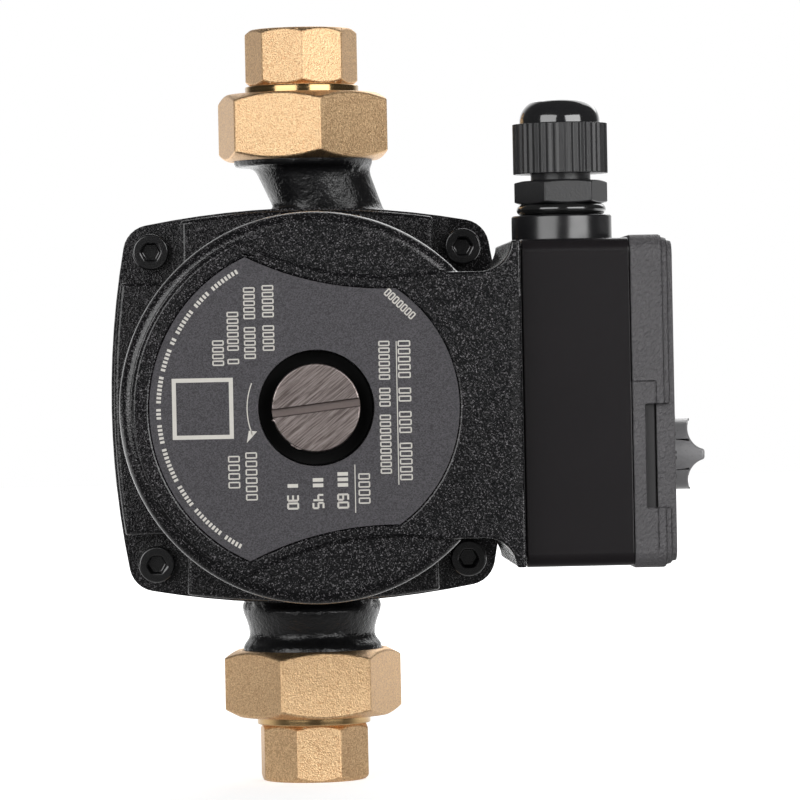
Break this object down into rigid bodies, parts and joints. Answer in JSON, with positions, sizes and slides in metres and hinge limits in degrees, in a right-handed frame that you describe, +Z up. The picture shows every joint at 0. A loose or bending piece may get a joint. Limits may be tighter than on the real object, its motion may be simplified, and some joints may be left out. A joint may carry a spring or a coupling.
{
  "type": "hot water circulation pump",
  "caption": "Wet-rotor hot water circulation pump with union connections, a side terminal box with speed knob and a cable gland.",
  "frame": {"origin": "centre of the inlet tailpiece's end face, on the pipe axis", "axes": "+Z up the pipe from inlet to outlet; the motor shaft lies along Y with the motor's face toward -Y; +X toward the terminal box"},
  "size_m": [0.1329, 0.124, 0.1788],
  "materials": {
    "black_cast_iron": "gloss black paint over a cast skin",
    "black_aluminium": "black powder coat with a fine sparkle",
    "cast_brass": "blasted cast brass with polished rings",
    "nickel_brass": "nickel plate with a turned face",
    "nameplate": "fine satin grey print film",
    "black_screws": "black oxide",
    "gloss_box": "gloss moulding",
    "satin_cover": "fine spark-eroded satin",
    "knob_plastic": "satin moulding",
    "gland_nylon": "satin nylon",
    "gland_ring": "smooth gloss rubber",
    "seal_rubber": "matt rubber",
    "gasket_fibre": "pressed fibre",
    "stainless": "drawn stainless steel",
    "zinc_steel": "zinc plate",
    "lamination_steel": "stamped laminations",
    "copper": "enamelled copper wire",
    "insulation_fibre": "pressed fibre board",
    "ceramic": "ground ceramic",
    "carbon": "carbon graphite",
    "impeller_plastic": "glass filled plastic",
    "lead_sleeve": "silicone sleeve",
    "capacitor_can": "drawn can",
    "terminal_plastic": "satin moulding",
    "earth_brass": "plain brass"
  },
  "bodies": {
    "root": {"pump_housing": "black_cast_iron", "neck_ring": "stainless", "front_bearing": "ceramic", "bearing_plate": "stainless", "rotor_can": "stainless", "rear_bearing": "ceramic", "housing_gasket": "seal_rubber", "stator_core": "lamination_steel", "winding_insulators": "insulation_fibre", "stator_windings": "copper", "motor_housing": "black_aluminium", "housing_screws": "black_screws", "nameplate": "nameplate", "box_gasket": "seal_rubber", "terminal_box_base": "gloss_box", "box_fixing_screws": "zinc_steel", "lead_grommet": "seal_rubber", "winding_leads": "lead_sleeve", "capacitor": "capacitor_can", "terminal_block": "terminal_plastic", "terminal_screws": "zinc_steel", "earth_screw": "earth_brass", "gland_body": "gland_nylon", "gland_o_ring": "gland_ring"},
    "rotor": {"impeller": "impeller_plastic", "impeller_retainer": "stainless", "shaft": "ceramic", "rotor_core": "stainless", "thrust_bearing": "carbon"},
    "vent_seal": {"vent_plug_seal": "seal_rubber"},
    "vent_plug": {"vent_plug": "nickel_brass"},
    "outlet_union": {"outlet_tailpiece": "cast_brass", "outlet_gasket": "gasket_fibre"},
    "outlet_nut": {"outlet_union_nut": "cast_brass"},
    "inlet_union": {"inlet_tailpiece": "cast_brass", "inlet_gasket": "gasket_fibre"},
    "inlet_nut": {"inlet_union_nut": "cast_brass"},
    "gland_insert": {"gland_seal_insert": "seal_rubber"},
    "gland_nut": {"gland_dome_nut": "gland_nylon"},
    "box_cover": {"terminal_box_cover": "satin_cover", "cover_seal": "seal_rubber", "cover_screws": "black_screws", "speed_switch": "terminal_plastic"},
    "speed_selector": {"speed_knob": "knob_plastic", "switch_spindle": "zinc_steel"}
  },
  "joints": [
    {"name": "rotor_spin", "type": "hinge", "parent": "root", "child": "rotor", "pos_m": [0, -0.05, 0.0894], "axis": [0, -1, 0], "continuous": true},
    {"name": "vent_plug_travel", "type": "slide", "parent": "root", "child": "vent_seal", "axis": [0, -1, 0], "range_m": [0, 0.00599]},
    {"name": "vent_plug_turn", "type": "hinge", "parent": "vent_seal", "child": "vent_plug", "pos_m": [0, -0.09, 0.0894], "axis": [0, -1, 0], "range_deg": [0, 1440]},
    {"name": "outlet_union_travel", "type": "slide", "parent": "root", "child": "outlet_union", "axis": [0, 0, 1], "range_m": [0, 0.00692]},
    {"name": "outlet_nut_turn", "type": "hinge", "parent": "outlet_union", "child": "outlet_nut", "pos_m": [0, 0, 0.155], "axis": [0, 0, 1], "range_deg": [0, 1080]},
    {"name": "inlet_union_travel", "type": "slide", "parent": "root", "child": "inlet_union", "axis": [0, 0, -1], "range_m": [0, 0.00692]},
    {"name": "inlet_nut_turn", "type": "hinge", "parent": "inlet_union", "child": "inlet_nut", "pos_m": [0, 0, 0.024], "axis": [0, 0, -1], "range_deg": [0, 1080]},
    {"name": "gland_nut_travel", "type": "slide", "parent": "root", "child": "gland_insert", "axis": [0, 0, 1], "range_m": [-0.00089, 0.00749]},
    {"name": "gland_nut_turn", "type": "hinge", "parent": "gland_insert", "child": "gland_nut", "pos_m": [0.0569, -0.065, 0.145], "axis": [0, 0, 1], "range_deg": [-216, 1800]},
    {"name": "cover_lift", "type": "slide", "parent": "root", "child": "box_cover", "axis": [1, 0, 0], "range_m": [0, 0.03]},
    {"name": "speed_knob_turn", "type": "hinge", "parent": "box_cover", "child": "speed_selector", "pos_m": [0.08, -0.076, 0.0773], "axis": [1, 0, 0], "range_deg": [-45, 45]}
  ],
  "couplings": [
    {"joint": "vent_plug_turn", "follows": "vent_plug_travel", "rad_per_m": 4188.8},
    {"joint": "outlet_nut_turn", "follows": "outlet_union_travel", "rad_per_m": 2721.2},
    {"joint": "inlet_nut_turn", "follows": "inlet_union_travel", "rad_per_m": 2721.2},
    {"joint": "gland_nut_turn", "follows": "gland_nut_travel", "rad_per_m": 4188.8}
  ]
}
